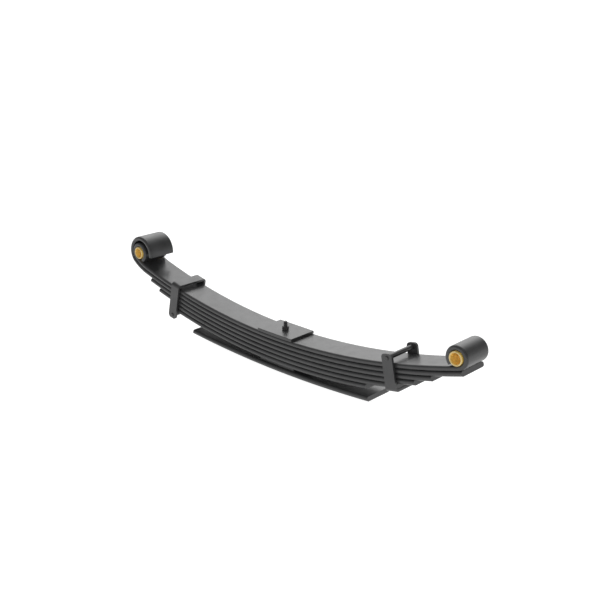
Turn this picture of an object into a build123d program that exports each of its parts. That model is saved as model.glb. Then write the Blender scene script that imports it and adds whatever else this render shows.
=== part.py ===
"""Multi-leaf truck spring: two bushed eyes, the left one wrapped by the second leaf,
with a helper leaf, a top plate on the centre bolt, and two rebound clips.

Frame: +X along the spring, +Y across its width, +Z up, all sizes in millimetres.
The origin is on the centre bolt's axis, at the seat under the helper leaf.
"""

from build123d import *
import math
import os

# ---- leaf bars ---------------------------------------------------------------------------
leaf_width = 76.2
leaf_thickness = 11.1
leaf_edge_flat = 0.5  # flat left between the rounded edges of a bar's side
camber_radius = 1676.0  # top face of the main leaf, centre of curvature above the spring

# ---- reach of each bar from the centre bolt, measured along its own top face ---------------
wrapper_right = 514.6
third_left, third_right = 452.7, 441.1
fourth_left, fourth_right = 418.7, 399.8
fifth_left, fifth_right = 365.8, 356.8
sixth_left, sixth_right = 360.4, 272.5

# ---- helper leaf and its spacer ------------------------------------------------------------
helper_thickness = 11.1
helper_radius = 3191.5  # top face of the helper leaf
helper_left, helper_right = 286.9, 277.9
spacer_thickness = 7.2
spacer_length = 107.6
spacer_width = 60.0

# ---- eyes and their bushes -----------------------------------------------------------------
eye_reach_right = 493.0  # eye centre to centre bolt, measured level
right_tip_gap = 2.2  # from the rolled tip to the leaf below it
kick_reach = 471.0  # where the two top leaves turn up to the left eye
kick_radius = 120.0
kick_angle = 20.0
left_tip_gap = 4.5
wrap_gap = 6.0  # how far the second leaf's roll stands off above the left eye
wrap_past_level = 6.0  # degrees that this roll runs on past level
bush_diameter = 30.5
bush_stand_out = 2.5  # each bush end beyond the side of the leaf
pin_bore = 24.0
bush_edge_break = 1.0
grease_groove_width = 3.0
grease_groove_depth = 0.8
grease_groove_inset = 10.0  # plain bore left at each end of the groove

# ---- top plate -----------------------------------------------------------------------------
plate_length = 107.6
plate_width = 76.2
plate_thickness = 7.2
plate_edge_break = 0.8

# ---- centre bolt ---------------------------------------------------------------------------
bolt_diameter = 9.5
bolt_hole_clearance = 0.5  # radial
bolt_head_diameter = 18.0
bolt_head_height = 8.0
bolt_head_chamfer = 1.2
nut_across_flats = 14.3
nut_height = 8.5
nut_bevel = 1.1
thread_pitch = 1.6
thread_depth = 0.8
turns_above_nut = 6
turns_below_nut = 4
nut_thread_clearance = 0.05  # radial

# ---- rebound clips -------------------------------------------------------------------------
clip_reach_left = 346.0  # along the main leaf's top face
clip_reach_right = 336.0
strap_width = 27.0
strap_thickness = 5.4
strap_bend_radius = 3.6  # inside of the bend
clip_side_clearance = 1.5
left_strap_gap = 7.5  # strap above the main leaf
left_pin_drop = 7.9  # pin centre below the sixth leaf
right_pin_rise = 12.5  # pin centre above the main leaf
left_leg_margin = 8.8  # leg end beyond the pin centre
right_leg_margin = 9.5
leg_corner_round = 8.5
clip_pin_diameter = 7.0
pin_fit_clearance = 0.05  # radial, in the legs
pin_head_diameter = 10.0
pin_head_height = 2.2
pin_head_round = 1.5
tube_diameter = 11.0
tube_clearance = 0.08  # radial, round the pin
tube_end_clearance = 0.3
tube_edge_break = 0.4
riveted_leaves = 5  # leaves inside the right clip
rivet_diameter = 7.2
rivet_head_diameter = 13.5
rivet_head_height = 4.0
rivet_head_round = 2.7
rivet_sink_diameter = 11.7
rivet_recess = 0.3  # countersunk end below the fifth leaf's top face

# ---- levels and sizes that follow from those above -------------------------------------------
DOWNWARD = 270.0  # direction of the seat, in degrees, from a centre of curvature above it
LEVEL_LEFT = 180.0
FULL_TURN = 360.0
leaf_count = 6
leaf_edge_round = (leaf_thickness - leaf_edge_flat) / 2
helper_edge_round = (helper_thickness - leaf_edge_flat) / 2
pack_thickness = leaf_count * leaf_thickness
spacer_top = helper_thickness + spacer_thickness
pack_top = spacer_top + pack_thickness
plate_top = pack_top + plate_thickness
camber_centre = (0, pack_top + camber_radius)
helper_centre = (0, helper_thickness + helper_radius)
half_width = leaf_width / 2
eye_radius = bush_diameter / 2
eye_outside = eye_radius + leaf_thickness
bush_length = leaf_width + 2 * bush_stand_out

os.makedirs("parts", exist_ok=True)


def finish(piece, name):
    """Label a finished piece and write its STEP file."""
    piece.part.label = name
    export_step(piece.part, f"parts/{name}.step")


def from_centre(centre, radius, angle):
    """Point at a distance and a direction, in degrees, from a centre."""
    turn = math.radians(angle)
    return (centre[0] + radius * math.cos(turn), centre[1] + radius * math.sin(turn))


def bar_outline(bends, thickness):
    """Draw a bent bar's side outline, from its left end to its right end.

    Each bend is the centre, the radius of the bar's top face, and the start and sweep
    of the arc in degrees. Both ends of the bar are cut square.
    """
    for place, (centre, radius, start, sweep) in enumerate(bends):
        top = CenterArc(centre, radius, start, sweep)
        under = CenterArc(centre, radius + thickness, start, sweep)
        if place == 0:
            Line(top @ 0, under @ 0)
    Line(top @ 1, under @ 1)


def camber_bend(centre, radius, left, right):
    """Single bend of a plain bar that reaches left and right of the centre bolt."""
    left_angle = math.degrees(left / radius)
    right_angle = math.degrees(right / radius)
    return (centre, radius, DOWNWARD - left_angle, left_angle + right_angle)


def round_long_edges(piece, radius):
    """Round the edges that run along both sides of a bar."""
    sides = piece.faces().filter_by(Axis.Y)
    fillet(sides.edges().filter_by(GeomType.CIRCLE), radius=radius)


def centre_hole():
    """Cut the centre bolt's hole through the bar or plate being built."""
    with Locations((0, 0, plate_top)):
        Hole(bolt_diameter / 2 + bolt_hole_clearance)


# ---- where the eyes are ----------------------------------------------------------------------
def eye_wrap(tip_gap):
    """Degrees of bar rolled round an eye, up to the gap left under its tip."""
    return FULL_TURN - math.degrees(math.acos((eye_radius - tip_gap) / eye_outside))


eye_orbit = camber_radius - eye_radius
right_start = DOWNWARD + math.degrees(math.asin(eye_reach_right / eye_orbit))
right_eye = from_centre(camber_centre, eye_orbit, right_start)
right_wrap = eye_wrap(right_tip_gap)
kick_start = DOWNWARD - math.degrees(kick_reach / camber_radius)
kick_centre = from_centre(camber_centre, camber_radius - kick_radius, kick_start)
left_start = kick_start - kick_angle
left_eye = from_centre(kick_centre, kick_radius - eye_radius, left_start)
left_wrap = eye_wrap(left_tip_gap)

# ---- main leaf, with both eyes rolled upward -------------------------------------------------
main_bends = (
    (left_eye, eye_radius, left_start - left_wrap, left_wrap),
    (kick_centre, kick_radius, left_start, kick_angle),
    (camber_centre, camber_radius, kick_start, right_start - kick_start),
    (right_eye, eye_radius, right_start, right_wrap),
)

# ---- second leaf, which follows the main leaf round its left eye -------------------------------
wrap_radius = eye_outside + wrap_gap
wrap_centre = (left_eye[0] + wrap_gap, left_eye[1])
wrapper_radius = camber_radius + leaf_thickness
wrapper_sweep = DOWNWARD - kick_start + math.degrees(wrapper_right / wrapper_radius)
wrapper_bends = (
    (wrap_centre, wrap_radius, -wrap_past_level, LEVEL_LEFT + wrap_past_level),
    (left_eye, eye_outside, LEVEL_LEFT, left_start - LEVEL_LEFT),
    (kick_centre, kick_radius + leaf_thickness, left_start, kick_angle),
    (camber_centre, wrapper_radius, kick_start, wrapper_sweep),
)


# ---- where the clips stand -------------------------------------------------------------------
def clip_planes(reach, side):
    """Planes square to the main leaf at a clip: across the spring, and along its side."""
    angle = side * reach / camber_radius
    foot_x, foot_z = from_centre(camber_centre, camber_radius, DOWNWARD + math.degrees(angle))
    foot = (foot_x, 0, foot_z)
    along = (math.cos(angle), 0, math.sin(angle))
    across = Plane(origin=foot, x_dir=(0, 1, 0), z_dir=along)
    beside = Plane(origin=foot, x_dir=along, z_dir=(0, -1, 0))
    return across, beside


left_across, left_beside = clip_planes(clip_reach_left, -1)
right_across, right_beside = clip_planes(clip_reach_right, 1)
fifth_under = -riveted_leaves * leaf_thickness  # measured from the pack's top
rivet_plane = Plane(
    origin=right_across.from_local_coords((0, fifth_under, 0)),
    x_dir=right_beside.x_dir,
    z_dir=right_across.y_dir,
)

# ---- the leaves of the pack, from the top down -------------------------------------------------
leaves = [("main_leaf", main_bends), ("wrapper_leaf", wrapper_bends)]
plain_leaves = (
    ("third_leaf", third_left, third_right),
    ("fourth_leaf", fourth_left, fourth_right),
    ("fifth_leaf", fifth_left, fifth_right),
    ("sixth_leaf", sixth_left, sixth_right),
)
for leaves_above, (leaf_name, reach_left, reach_right) in enumerate(plain_leaves, start=2):
    leaf_radius = camber_radius + leaves_above * leaf_thickness
    leaves.append((leaf_name, (camber_bend(camber_centre, leaf_radius, reach_left, reach_right),)))

for leaf_name, leaf_bends in leaves:
    with BuildPart() as leaf:
        with BuildSketch(Plane.XZ):
            with BuildLine():
                bar_outline(leaf_bends, leaf_thickness)
            make_face()
        extrude(amount=half_width, both=True)
        round_long_edges(leaf, leaf_edge_round)
        centre_hole()
        if leaf_name == "fifth_leaf":
            with Locations(rivet_plane.offset(leaf_thickness)):
                CounterSinkHole(rivet_diameter / 2, rivet_sink_diameter / 2, counter_sink_angle=90)
    finish(leaf, leaf_name)

# ---- helper leaf under the pack, with the spacer that holds it off -----------------------------
helper_bend = camber_bend(helper_centre, helper_radius, helper_left, helper_right)
with BuildPart() as helper_leaf:
    with BuildSketch(Plane.XZ):
        with BuildLine():
            bar_outline((helper_bend,), helper_thickness)
        make_face()
    extrude(amount=half_width, both=True)
    round_long_edges(helper_leaf, helper_edge_round)
    centre_hole()
finish(helper_leaf, "helper_leaf")

pack_under_radius = camber_radius + pack_thickness
with BuildPart() as helper_spacer:
    with BuildSketch(Plane.XZ):
        with Locations((0, spacer_top)):
            Rectangle(spacer_length, 2 * spacer_thickness)
        with Locations(camber_centre):
            Circle(pack_under_radius, mode=Mode.SUBTRACT)
        with Locations(helper_centre):
            Circle(helper_radius, mode=Mode.INTERSECT)
    extrude(amount=spacer_width / 2, both=True)
    centre_hole()
finish(helper_spacer, "helper_spacer")

# ---- flat plate on the main leaf ---------------------------------------------------------------
with BuildPart() as top_plate:
    with BuildSketch(Plane.XZ):
        with Locations((0, pack_top)):
            Rectangle(plate_length, 2 * plate_thickness)
        with Locations(camber_centre):
            Circle(camber_radius, mode=Mode.INTERSECT)
    extrude(amount=plate_width / 2, both=True)
    upper_edges = top_plate.faces().sort_by(Axis.Z)[-1].edges()
    corner_edges = top_plate.edges().filter_by(Axis.Z)
    chamfer(upper_edges + corner_edges, length=plate_edge_break)
    centre_hole()
finish(top_plate, "top_plate")

# ---- centre bolt and its nut -------------------------------------------------------------------
bolt_radius = bolt_diameter / 2
thread_root = bolt_radius - thread_depth
thread_low = plate_top - turns_below_nut * thread_pitch
thread_count = turns_below_nut + math.ceil(nut_height / thread_pitch) + turns_above_nut
thread_high = thread_low + thread_count * thread_pitch
bolt_outline = [
    (0, -bolt_head_height),
    (bolt_head_diameter / 2, -bolt_head_height),
    (bolt_head_diameter / 2, 0),
    (bolt_radius, 0),
]
for turn in range(thread_count):
    crest_height = thread_low + turn * thread_pitch
    bolt_outline.append((bolt_radius, crest_height))
    bolt_outline.append((thread_root, crest_height + thread_pitch / 2))
bolt_outline.append((bolt_radius, thread_high))
bolt_outline.append((thread_root, thread_high + thread_depth))
bolt_outline.append((0, thread_high + thread_depth))

with BuildPart() as centre_bolt:
    with BuildSketch(Plane.XZ):
        with BuildLine():
            Polyline(*bolt_outline, close=True)
        make_face()
    revolve(axis=Axis.Z)
    head_rim = centre_bolt.edges().filter_by(GeomType.CIRCLE).group_by(Axis.Z)[0]
    chamfer(head_rim, length=bolt_head_chamfer)
finish(centre_bolt, "centre_bolt")

with BuildPart() as centre_nut:
    with BuildSketch(Plane.XY.offset(plate_top)):
        Circle(nut_across_flats / math.sqrt(3))
    extrude(amount=nut_height)
    chamfer(centre_nut.edges().filter_by(GeomType.CIRCLE), length=nut_bevel)
    with BuildSketch(Plane.XY.offset(plate_top)):
        RegularPolygon(nut_across_flats / 2, 6, major_radius=False)
        Circle(bolt_radius + nut_thread_clearance, mode=Mode.SUBTRACT)
    extrude(amount=nut_height, mode=Mode.INTERSECT)
finish(centre_nut, "centre_nut")


# ---- bushes ------------------------------------------------------------------------------------
for bush_name, eye in (("left_bush", left_eye), ("right_bush", right_eye)):
    bush_end = Plane(
        origin=(eye[0], -bush_length / 2, eye[1]),
        x_dir=(-1, 0, 0),
        z_dir=(0, 1, 0),
    )
    with BuildPart() as bush:
        with BuildSketch(bush_end):
            Circle(bush_diameter / 2)
            Circle(pin_bore / 2, mode=Mode.SUBTRACT)
        extrude(amount=bush_length)
        chamfer(bush.edges().filter_by(GeomType.CIRCLE), length=bush_edge_break)
        groove_length = bush_length - 2 * grease_groove_inset
        with Locations((eye[0], 0, eye[1] + pin_bore / 2)):
            Box(grease_groove_width, groove_length, 2 * grease_groove_depth, mode=Mode.SUBTRACT)
    finish(bush, bush_name)

# ---- rebound clips, each shut by a headed pin that carries a loose tube ----------------------------
leg_inside = half_width + clip_side_clearance
leg_outside = leg_inside + strap_thickness
tube_half = leg_inside - tube_end_clearance
pin_end = leg_outside + pin_head_height
outer_bend = strap_bend_radius + strap_thickness
left_pin_level = -pack_thickness - left_pin_drop
clips = (
    ("left", left_across, left_beside, left_strap_gap, left_pin_level, left_leg_margin, 1),
    ("right", right_across, right_beside, fifth_under, right_pin_rise, right_leg_margin, -1),
)
for clip_side, across, beside, strap_face, pin_level, leg_margin, closed_end in clips:
    strap_back = strap_face + closed_end * strap_thickness
    leg_end = pin_level - closed_end * leg_margin
    beyond_back = strap_back + closed_end * leg_corner_round
    with BuildPart() as clip:
        with BuildSketch(across):
            with BuildLine():
                outside_line = FilletPolyline(
                    (-leg_outside, leg_end),
                    (-leg_outside, strap_back),
                    (leg_outside, strap_back),
                    (leg_outside, leg_end),
                    radius=outer_bend,
                )
                inside_line = FilletPolyline(
                    (-leg_inside, leg_end),
                    (-leg_inside, strap_face),
                    (leg_inside, strap_face),
                    (leg_inside, leg_end),
                    radius=strap_bend_radius,
                )
                Line(outside_line @ 0, inside_line @ 0)
                Line(outside_line @ 1, inside_line @ 1)
            make_face()
        extrude(amount=strap_width / 2, both=True)
        with BuildSketch(beside):
            with Locations((0, (leg_end + beyond_back) / 2)):
                RectangleRounded(strap_width, abs(beyond_back - leg_end), leg_corner_round)
            with Locations((0, pin_level)):
                Circle(clip_pin_diameter / 2 + pin_fit_clearance, mode=Mode.SUBTRACT)
        extrude(amount=leg_outside, both=True, mode=Mode.INTERSECT)
        if clip_side == "right":
            with Locations(rivet_plane):
                Hole(rivet_diameter / 2, depth=2 * strap_thickness)
    finish(clip, f"{clip_side}_clip")

    with BuildPart() as clip_pin:
        with BuildSketch(across):
            with Locations((0, pin_level)):
                Rectangle(2 * leg_outside, clip_pin_diameter)
            for hand in (-1, 1):
                with Locations((hand * (leg_outside + pin_head_height / 2), pin_level)):
                    Rectangle(pin_head_height, pin_head_diameter)
            with Locations((0, pin_level - pin_head_diameter / 2)):
                Rectangle(2 * pin_end, pin_head_diameter, mode=Mode.SUBTRACT)
        revolve(axis=Axis(across.from_local_coords((0, pin_level, 0)), across.x_dir))
        end_faces = clip_pin.faces().filter_by(Axis.Y).sort_by(Axis.Y)
        fillet(end_faces[0].edges() + end_faces[-1].edges(), radius=pin_head_round)
    finish(clip_pin, f"{clip_side}_clip_pin")

    with BuildPart() as clip_tube:
        with BuildSketch(beside):
            with Locations((0, pin_level)):
                Circle(tube_diameter / 2)
                Circle(clip_pin_diameter / 2 + tube_clearance, mode=Mode.SUBTRACT)
        extrude(amount=tube_half, both=True)
        chamfer(clip_tube.edges().filter_by(GeomType.CIRCLE), length=tube_edge_break)
    finish(clip_tube, f"{clip_side}_clip_tube")

# ---- rivet that holds the right clip under the fifth leaf ------------------------------------------
rivet_end_radius = rivet_sink_diameter / 2 - rivet_recess
rivet_low = fifth_under - strap_thickness
rivet_high = fifth_under + leaf_thickness - rivet_recess
rivet_sink = rivet_end_radius - rivet_diameter / 2
with BuildPart() as clip_rivet:
    with BuildSketch(right_across):
        with BuildLine():
            Polyline(
                (0, rivet_low - rivet_head_height),
                (rivet_head_diameter / 2, rivet_low - rivet_head_height),
                (rivet_head_diameter / 2, rivet_low),
                (rivet_diameter / 2, rivet_low),
                (rivet_diameter / 2, rivet_high - rivet_sink),
                (rivet_end_radius, rivet_high),
                (0, rivet_high),
                close=True,
            )
        make_face()
    revolve(axis=Axis(right_across.origin, right_across.y_dir))
    dome_rim = clip_rivet.edges().filter_by(GeomType.CIRCLE).sort_by(Axis.Z)[0]
    fillet(dome_rim, radius=rivet_head_round)
finish(clip_rivet, "clip_rivet")
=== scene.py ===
import math

import bpy
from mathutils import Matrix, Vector

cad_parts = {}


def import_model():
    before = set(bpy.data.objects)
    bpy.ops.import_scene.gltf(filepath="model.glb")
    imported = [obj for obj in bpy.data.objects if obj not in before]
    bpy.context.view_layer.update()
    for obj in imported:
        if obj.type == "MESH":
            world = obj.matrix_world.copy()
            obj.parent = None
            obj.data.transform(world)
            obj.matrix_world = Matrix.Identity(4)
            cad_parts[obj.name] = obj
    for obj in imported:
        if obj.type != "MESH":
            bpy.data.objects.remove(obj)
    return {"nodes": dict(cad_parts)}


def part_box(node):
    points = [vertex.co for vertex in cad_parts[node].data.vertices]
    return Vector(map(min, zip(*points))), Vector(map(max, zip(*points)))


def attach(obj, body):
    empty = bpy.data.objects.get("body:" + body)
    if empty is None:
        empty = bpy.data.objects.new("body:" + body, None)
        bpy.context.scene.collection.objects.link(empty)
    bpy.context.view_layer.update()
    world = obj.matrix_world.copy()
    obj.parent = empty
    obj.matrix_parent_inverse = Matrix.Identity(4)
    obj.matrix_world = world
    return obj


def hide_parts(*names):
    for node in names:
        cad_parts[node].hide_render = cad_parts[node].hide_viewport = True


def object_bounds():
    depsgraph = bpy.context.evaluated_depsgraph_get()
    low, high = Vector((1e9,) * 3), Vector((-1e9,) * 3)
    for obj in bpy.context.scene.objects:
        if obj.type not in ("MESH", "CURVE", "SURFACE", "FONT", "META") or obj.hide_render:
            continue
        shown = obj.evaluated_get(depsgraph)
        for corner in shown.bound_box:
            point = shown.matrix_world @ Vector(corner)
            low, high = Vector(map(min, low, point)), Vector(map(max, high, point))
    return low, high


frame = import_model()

cad_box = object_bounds()
nodes = frame["nodes"]

# Camera, in the part's own frame, metres and degrees.
CAMERA_PLACE = (1.4354, -1.4629, 0.8893)
CAMERA_AZIMUTH = 43.85
CAMERA_ELEVATION = 19.20
CAMERA_LENS = 58.13
SENSOR_WIDTH = 36.0

FLOOR_SIDE = 400.0
FLOOR_GAP = 0.0005
FLOOR_GLOW = 0.9
FLOOR_ALBEDO = 0.4

# Studio: one large soft light high behind the spring, over a pale surround.
SOFT_BOX_DIRECTION = (-0.45, 0.62, 0.64)
SOFT_BOX_EDGE = 0.45  # cosine of the angle at which its glow ends
SOFT_BOX_FALLOFF = 4.0
SOFT_BOX_STRENGTH = 2.9
# Surround's brightness from straight down (0) to straight up (1).
SURROUND_LEVELS = ((0.0, 0.85), (0.25, 0.60), (0.42, 0.40), (0.68, 0.28), (1.0, 0.6))
FILL_PLACE = (1.2, -2.4, 1.0)
FILL_AIM = (0.0, 0.0, 0.1)
FILL_SIZE = (2.0, 1.5)
FILL_WATTS = 45.0

# Bronze colours: the bore's bright gold is painted light and the end faces' darker colour is painted
# shade; the stain colour is the metal's own.
BRONZE_FACE_PAINTED_SHADE = (0.44, 0.35, 0.17)
BRONZE_BORE_PAINTED_LIGHT = (0.95, 0.64, 0.14)
BRONZE_SHADE = (0.34, 0.24, 0.08)
BRONZE_METALLIC = 0.2
SHARP_ANGLE = math.radians(35)

# Centre bolt, from its head up, in metres.
BOLT_RADIUS = 0.00475
BOLT_HEAD_RADIUS = 0.009
BOLT_HEAD_CHAMFER = 0.0012
THREAD_PITCH = 0.0016
THREAD_DEPTH = 0.0008
THREAD_LOW = 0.0857
THREAD_TURNS = 16
# One turn of the thread: place along the pitch, and height above the root, both as fractions.
THREAD_PROFILE = ((0.0, 0.0), (0.125, 0.0), (0.5, 1.0), (0.625, 1.0))
TURN_STEPS = 72

# ---------------------------------------------------------------- materials


class Nodes:
    """A material's node tree, with short calls for the few nodes used here."""

    def __init__(self, name):
        self.material = bpy.data.materials.new(name)
        self.material.use_nodes = True
        self.tree = self.material.node_tree
        self.shader = self.tree.nodes["Principled BSDF"]
        self.place = self.add("ShaderNodeTexCoord").outputs["Object"]

    def add(self, kind, **settings):
        made = self.tree.nodes.new(kind)
        for key, value in settings.items():
            setattr(made, key, value)
        return made

    def link(self, source, target):
        self.tree.links.new(source, target)

    def stretched(self, scale):
        mapping = self.add("ShaderNodeMapping")
        mapping.inputs["Scale"].default_value = scale
        self.link(self.place, mapping.inputs["Vector"])
        return mapping.outputs["Vector"]

    def noise(self, scale, detail=4.0, roughness=0.55, vector=None):
        made = self.add("ShaderNodeTexNoise")
        made.inputs["Scale"].default_value = scale
        made.inputs["Detail"].default_value = detail
        made.inputs["Roughness"].default_value = roughness
        self.link(vector or self.place, made.inputs["Vector"])
        return made.outputs["Fac"]

    def spread(self, value, low, high, to_low=0.0, to_high=1.0):
        made = self.add("ShaderNodeMapRange", clamp=True)
        made.inputs["From Min"].default_value = low
        made.inputs["From Max"].default_value = high
        made.inputs["To Min"].default_value = to_low
        made.inputs["To Max"].default_value = to_high
        self.link(value, made.inputs["Value"])
        return made.outputs["Result"]

    def math(self, operation, first, second):
        made = self.add("ShaderNodeMath", operation=operation)
        for socket, value in zip(made.inputs, (first, second)):
            if isinstance(value, (int, float)):
                socket.default_value = value
            else:
                self.link(value, socket)
        return made.outputs["Value"]

    def mix(self, amount, first, second):
        made = self.add("ShaderNodeMix", data_type="RGBA")
        self.link(amount, made.inputs["Factor"])
        for socket, value in ((made.inputs[6], first), (made.inputs[7], second)):
            if isinstance(value, tuple):
                socket.default_value = (*value, 1.0)
            else:
                self.link(value, socket)
        return made.outputs[2]

    def bump(self, height, distance, strength=1.0, normal=None):
        made = self.add("ShaderNodeBump")
        made.inputs["Distance"].default_value = distance
        made.inputs["Strength"].default_value = strength
        self.link(height, made.inputs["Height"])
        if normal is not None:
            self.link(normal, made.inputs["Normal"])
        return made.outputs["Normal"]

    def edges(self, radius):
        """1 where the surface turns sharply within radius, 0 on the flat."""
        bevel = self.add("ShaderNodeBevel", samples=6)
        bevel.inputs["Radius"].default_value = radius
        geometry = self.add("ShaderNodeNewGeometry")
        dot = self.add("ShaderNodeVectorMath", operation="DOT_PRODUCT")
        self.link(bevel.outputs["Normal"], dot.inputs[0])
        self.link(geometry.outputs["Normal"], dot.inputs[1])
        return self.spread(dot.outputs["Value"], 0.99, 0.85)

    def finish(self, colour, roughness, normal=None, **constants):
        self.link(colour, self.shader.inputs["Base Color"])
        self.link(roughness, self.shader.inputs["Roughness"])
        if normal is not None:
            self.link(normal, self.shader.inputs["Normal"])
        for key, value in constants.items():
            self.shader.inputs[key.replace("_", " ")].default_value = value
        return self.material


def paint(name, dark, light, worn, low_roughness, high_roughness):
    """Satin paint over hot-rolled steel: faint flow along the bar, orange peel, rubbed edges."""
    n = Nodes(name)
    flow = n.noise(5.0, 5.0, vector=n.stretched((1.0, 5.0, 5.0)))
    blotch = n.noise(38.0, 6.0, 0.6)
    peel = n.noise(1100.0, 2.0)
    scale = n.noise(150.0, 5.0, 0.6)
    mottle = n.math("ADD", n.math("MULTIPLY", flow, 0.65), n.math("MULTIPLY", blotch, 0.35))
    tone = n.spread(mottle, 0.38, 0.62)
    colour = n.mix(tone, dark, light)
    rubbed = n.math("MULTIPLY", n.edges(0.0012), n.spread(n.noise(70.0, 6.0, 0.7), 0.45, 0.68))
    colour = n.mix(rubbed, colour, worn)
    rough = n.spread(blotch, 0.3, 0.7, low_roughness, high_roughness)
    normal = n.bump(scale, 0.00025, 0.35)
    normal = n.bump(peel, 0.00005, 0.5, normal)
    return n.finish(colour, rough, normal, Specular_IOR_Level=0.5)


def bronze(name, centre):
    """Bronze turned about a line along Y through centre (x, z): end faces painted darker and the bore
    painted brighter, as painted shade and light chosen by which way the surface faces.
    """
    n = Nodes(name)
    shifted = n.add("ShaderNodeVectorMath", operation="SUBTRACT")
    shifted.inputs[1].default_value = (centre[0], 0.0, centre[1])
    n.link(n.place, shifted.inputs[0])
    parts = n.add("ShaderNodeSeparateXYZ")
    n.link(shifted.outputs["Vector"], parts.inputs[0])
    across = n.math("MULTIPLY", parts.outputs["X"], parts.outputs["X"])
    up = n.math("MULTIPLY", parts.outputs["Z"], parts.outputs["Z"])
    radius = n.math("SQRT", n.math("ADD", across, up), 0.0)
    walk = n.math("ADD", radius, parts.outputs["Y"])
    line = n.add("ShaderNodeTexNoise", noise_dimensions="1D")
    line.inputs["Scale"].default_value = 2600.0
    line.inputs["Detail"].default_value = 3.0
    n.link(walk, line.inputs["W"])
    grain = line.outputs["Fac"]
    patch = n.noise(120.0, 4.0)
    normal_parts = n.add("ShaderNodeSeparateXYZ")
    n.link(n.add("ShaderNodeNewGeometry").outputs["Normal"], normal_parts.inputs[0])
    facing = n.math("ABSOLUTE", normal_parts.outputs["Y"], 0.0)
    # Painted light and shade: surfaces facing along Y (the end faces) get the darker colour and the
    # bore gets the bright gold, by which way they face.
    colour = n.mix(n.spread(facing, 0.2, 0.8), BRONZE_BORE_PAINTED_LIGHT, BRONZE_FACE_PAINTED_SHADE)
    stained = n.math("MULTIPLY", n.spread(patch, 0.35, 0.7), 0.6)
    colour = n.mix(stained, colour, BRONZE_SHADE)
    rough = n.spread(grain, 0.3, 0.7, 0.3, 0.45)
    return n.finish(colour, rough, n.bump(grain, 0.00004, 0.6), Metallic=BRONZE_METALLIC)


def black_oxide(name):
    """Blackened steel of the bolt, nut, pins and rivet, a little rubbed at its corners."""
    n = Nodes(name)
    cloud = n.noise(220.0, 5.0)
    rubbed = n.math("MULTIPLY", n.edges(0.0006), n.spread(n.noise(260.0, 5.0, 0.7), 0.4, 0.65))
    colour = n.mix(n.spread(cloud, 0.35, 0.7), (0.012, 0.012, 0.013), (0.030, 0.029, 0.029))
    colour = n.mix(rubbed, colour, (0.10, 0.10, 0.10))
    rough = n.spread(cloud, 0.3, 0.7, 0.3, 0.46)
    return n.finish(colour, rough, n.bump(n.noise(900.0, 3.0), 0.00004, 0.5), Specular_IOR_Level=0.5)


def eye_centre(node):
    """(x, z) of the middle of a ring that lies along Y."""
    low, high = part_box(node)
    return (low[0] + high[0]) / 2, (low[2] + high[2]) / 2


def smooth(mesh):
    """Shade smooth, but for the corners."""
    mesh.polygons.foreach_set("use_smooth", [True] * len(mesh.polygons))
    mesh.set_sharp_from_angle(angle=SHARP_ANGLE)


LEAF_PAINT = paint(
    "leaf_paint", dark=(0.014, 0.0142, 0.0147), light=(0.024, 0.0242, 0.0247), worn=(0.07, 0.07, 0.07),
    low_roughness=0.27, high_roughness=0.36,
)
CLIP_PAINT = paint(
    "clip_paint", dark=(0.015, 0.015, 0.0155), light=(0.026, 0.026, 0.0265), worn=(0.08, 0.08, 0.08),
    low_roughness=0.30, high_roughness=0.40,
)
BLACK_OXIDE = black_oxide("fastener_black")

FINISHES = {
    "left_clip": CLIP_PAINT,
    "right_clip": CLIP_PAINT,
    "left_clip_tube": CLIP_PAINT,
    "right_clip_tube": CLIP_PAINT,
    "centre_bolt": BLACK_OXIDE,
    "centre_nut": BLACK_OXIDE,
    "left_clip_pin": BLACK_OXIDE,
    "right_clip_pin": BLACK_OXIDE,
    "clip_rivet": BLACK_OXIDE,
}
for bush_name in ("left_bush", "right_bush"):
    FINISHES[bush_name] = bronze(bush_name, eye_centre(bush_name))

for node_name, node_object in nodes.items():
    mesh = node_object.data
    mesh.materials.clear()
    mesh.materials.append(FINISHES.get(node_name, LEAF_PAINT))
    smooth(mesh)


# ---------------------------------------------------------------- centre bolt with a real thread


class RoundMesh:
    """Mesh built from rows of points round the Z axis, each joined to the one before."""

    def __init__(self):
        self.points = []
        self.faces = []

    def add_point(self, radius, height, turn):
        angle = 2 * math.pi * turn
        self.points.append((radius * math.cos(angle), radius * math.sin(angle), height))
        return len(self.points) - 1

    def ring(self, radius, height):
        """Add a level ring, and return its point numbers with the first one again at the end."""
        made = [self.add_point(radius, height, step / TURN_STEPS) for step in range(TURN_STEPS)]
        return made + made[:1]

    def join(self, lower, upper):
        """Faces between two rows that hold the same number of points."""
        for step in range(len(lower) - 1):
            self.faces.append((lower[step], lower[step + 1], upper[step + 1], upper[step]))

    def cap(self, ring, upward):
        once = ring[:-1]
        self.faces.append(tuple(once) if upward else tuple(reversed(once)))


def head_and_shank(build):
    """From the underside of the head to the foot of the thread; returns the last ring."""
    head_low = cad_box[0][2]
    levels = (
        (BOLT_HEAD_RADIUS - BOLT_HEAD_CHAMFER, head_low),
        (BOLT_HEAD_RADIUS, head_low + BOLT_HEAD_CHAMFER),
        (BOLT_HEAD_RADIUS, 0.0),
        (BOLT_RADIUS, 0.0),
        (BOLT_RADIUS, THREAD_LOW - THREAD_DEPTH / 8),
    )
    rings = [build.ring(radius, height) for radius, height in levels]
    for lower, upper in zip(rings, rings[1:]):
        build.join(lower, upper)
    build.cap(rings[0], upward=False)
    return rings[-1]


def thread_point(build, turns, place, ridge):
    """Point on the thread after so many turns, at its row's place along the pitch."""
    pitches = turns + place
    fade_in = min(1.0, pitches)
    fade_out = min(1.0, THREAD_TURNS - pitches)
    radius = BOLT_RADIUS - THREAD_DEPTH * fade_in * (1 - ridge * fade_out)
    return build.add_point(radius, THREAD_LOW + pitches * THREAD_PITCH, turns)


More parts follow.
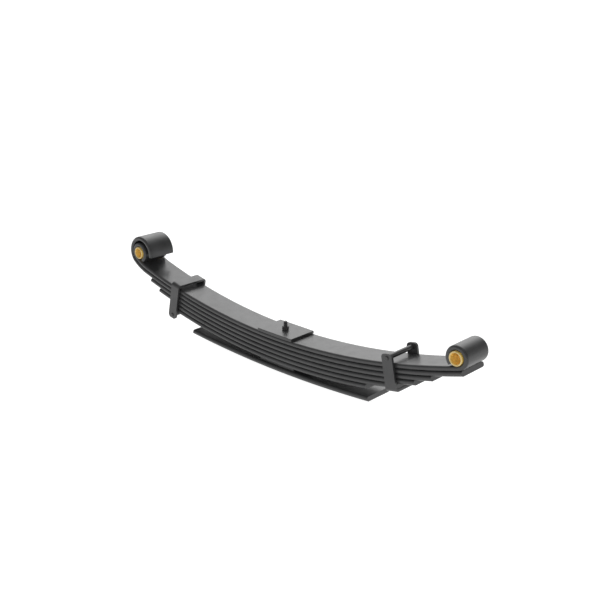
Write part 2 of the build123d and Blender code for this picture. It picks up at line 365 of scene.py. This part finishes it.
def thread(build, shank):
    """One helical ridge from the shank's last ring to the tip, fading out at both ends."""
    steps = [step / TURN_STEPS for step in range(TURN_STEPS)]
    rows = []
    for turn in range(THREAD_TURNS):
        last_turn = turn == THREAD_TURNS - 1
        for place, ridge in THREAD_PROFILE[:1] if last_turn else THREAD_PROFILE:
            rows.append([thread_point(build, turn + step, place, ridge) for step in steps])
    # A row ends where the same row of the next turn starts; the last ones end in points of their own.
    rows_per_turn = len(THREAD_PROFILE)
    closed = [row + [next_row[0]] for row, next_row in zip(rows, rows[rows_per_turn:])]
    ends = []
    for row, (place, ridge) in zip(rows[-rows_per_turn:], THREAD_PROFILE[1:] + THREAD_PROFILE[:1]):
        end_turn = THREAD_TURNS if place == 0.0 else THREAD_TURNS - 1
        ends.append(thread_point(build, end_turn, place, ridge))
        closed.append(row + [ends[-1]])
    for lower, upper in zip(closed, closed[1:]):
        build.join(lower, upper)
    build.join(shank, closed[0])
    build.faces.append(tuple([shank[0]] + [row[0] for row in rows[: rows_per_turn + 1]]))

    thread_high = THREAD_LOW + THREAD_TURNS * THREAD_PITCH
    root = BOLT_RADIUS - THREAD_DEPTH
    tip = build.ring(root, thread_high + THREAD_DEPTH / 4)
    build.join(closed[-1], tip)
    build.faces.append(tuple([rows[-1][0], tip[0]] + ends[::-1]))
    end = build.ring(root - THREAD_DEPTH / 2, thread_high + THREAD_DEPTH)
    build.join(tip, end)
    build.cap(end, upward=True)


def threaded_bolt():
    """Headed bolt with a cut thread, in place of the CAD one."""
    build = RoundMesh()
    thread(build, head_and_shank(build))
    mesh = bpy.data.meshes.new("threaded_bolt")
    mesh.from_pydata(build.points, [], build.faces)
    mesh.validate()
    smooth(mesh)
    mesh.materials.append(BLACK_OXIDE)
    piece = bpy.data.objects.new("threaded_bolt", mesh)
    bpy.context.scene.collection.objects.link(piece)
    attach(piece, "pack")
    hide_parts("centre_bolt")


threaded_bolt()

# ---------------------------------------------------------------- floor, light, camera


def floor():
    """Pale floor just under the spring, lit a little from within so that it reads as white."""
    half = FLOOR_SIDE / 2
    level = cad_box[0][2] - FLOOR_GAP
    mesh = bpy.data.meshes.new("floor")
    corners = [(-half, -half, level), (half, -half, level), (half, half, level), (-half, half, level)]
    mesh.from_pydata(corners, [], [(0, 1, 2, 3)])
    piece = bpy.data.objects.new("floor", mesh)
    bpy.context.scene.collection.objects.link(piece)
    material = bpy.data.materials.new("floor")
    material.use_nodes = True
    shader = material.node_tree.nodes["Principled BSDF"]
    shader.inputs["Base Color"].default_value = (FLOOR_ALBEDO, FLOOR_ALBEDO, FLOOR_ALBEDO, 1.0)
    shader.inputs["Emission Color"].default_value = (1.0, 1.0, 1.0, 1.0)
    shader.inputs["Emission Strength"].default_value = FLOOR_GLOW
    shader.inputs["Roughness"].default_value = 1.0
    shader.inputs["Specular IOR Level"].default_value = 0.0
    mesh.materials.append(material)


def world():
    """Studio surround: pale at the horizon, dimmer above, with the soft box's glow behind."""
    made = bpy.data.worlds.new("studio")
    bpy.context.scene.world = made
    made.use_nodes = True
    tree = made.node_tree
    background = tree.nodes["Background"]
    coordinates = tree.nodes.new("ShaderNodeTexCoord")
    parts = tree.nodes.new("ShaderNodeSeparateXYZ")
    tree.links.new(coordinates.outputs["Generated"], parts.inputs[0])
    ramp = tree.nodes.new("ShaderNodeValToRGB")
    tree.links.new(parts.outputs["Z"], ramp.inputs["Fac"])
    elements = ramp.color_ramp.elements
    while len(elements) < len(SURROUND_LEVELS):
        elements.new(0.5)
    for element, (position, level) in zip(elements, SURROUND_LEVELS):
        element.position = position
        element.color = (level, level, level, 1.0)
    facing = tree.nodes.new("ShaderNodeVectorMath")
    facing.operation = "DOT_PRODUCT"
    facing.inputs[1].default_value = Vector(SOFT_BOX_DIRECTION).normalized()
    tree.links.new(coordinates.outputs["Generated"], facing.inputs[0])
    reach = tree.nodes.new("ShaderNodeMapRange")
    reach.inputs["From Min"].default_value = SOFT_BOX_EDGE
    tree.links.new(facing.outputs["Value"], reach.inputs["Value"])
    falloff = tree.nodes.new("ShaderNodeMath")
    falloff.operation = "POWER"
    falloff.inputs[1].default_value = SOFT_BOX_FALLOFF
    tree.links.new(reach.outputs["Result"], falloff.inputs[0])
    glow = tree.nodes.new("ShaderNodeMath")
    glow.operation = "MULTIPLY"
    glow.inputs[1].default_value = SOFT_BOX_STRENGTH
    tree.links.new(falloff.outputs["Value"], glow.inputs[0])
    total = tree.nodes.new("ShaderNodeVectorMath")
    total.operation = "ADD"
    tree.links.new(ramp.outputs["Color"], total.inputs[0])
    tree.links.new(glow.outputs["Value"], total.inputs[1])
    tree.links.new(total.outputs["Vector"], background.inputs["Color"])


def front_fill():
    """Soft light from the front that lifts the near sides, and isn't seen in the gloss."""
    data = bpy.data.lights.new("front_fill", "AREA")
    data.shape = "RECTANGLE"
    data.size, data.size_y = FILL_SIZE
    data.energy = FILL_WATTS
    lamp = bpy.data.objects.new("front_fill", data)
    lamp.location = FILL_PLACE
    lamp.visible_glossy = False
    lamp.rotation_euler = (Vector(FILL_AIM) - Vector(FILL_PLACE)).to_track_quat("-Z", "Y").to_euler()
    bpy.context.scene.collection.objects.link(lamp)


def camera():
    data = bpy.data.cameras.new("camera")
    data.lens = CAMERA_LENS
    data.sensor_width = SENSOR_WIDTH
    data.clip_start, data.clip_end = 0.05, 1000.0
    piece = bpy.data.objects.new("camera", data)
    piece.location = CAMERA_PLACE
    piece.rotation_euler = (math.radians(90 - CAMERA_ELEVATION), 0.0, math.radians(CAMERA_AZIMUTH))
    bpy.context.scene.collection.objects.link(piece)
    bpy.context.scene.camera = piece


floor()
world()
front_fill()
camera()
bpy.context.scene.view_settings.view_transform = "Standard"
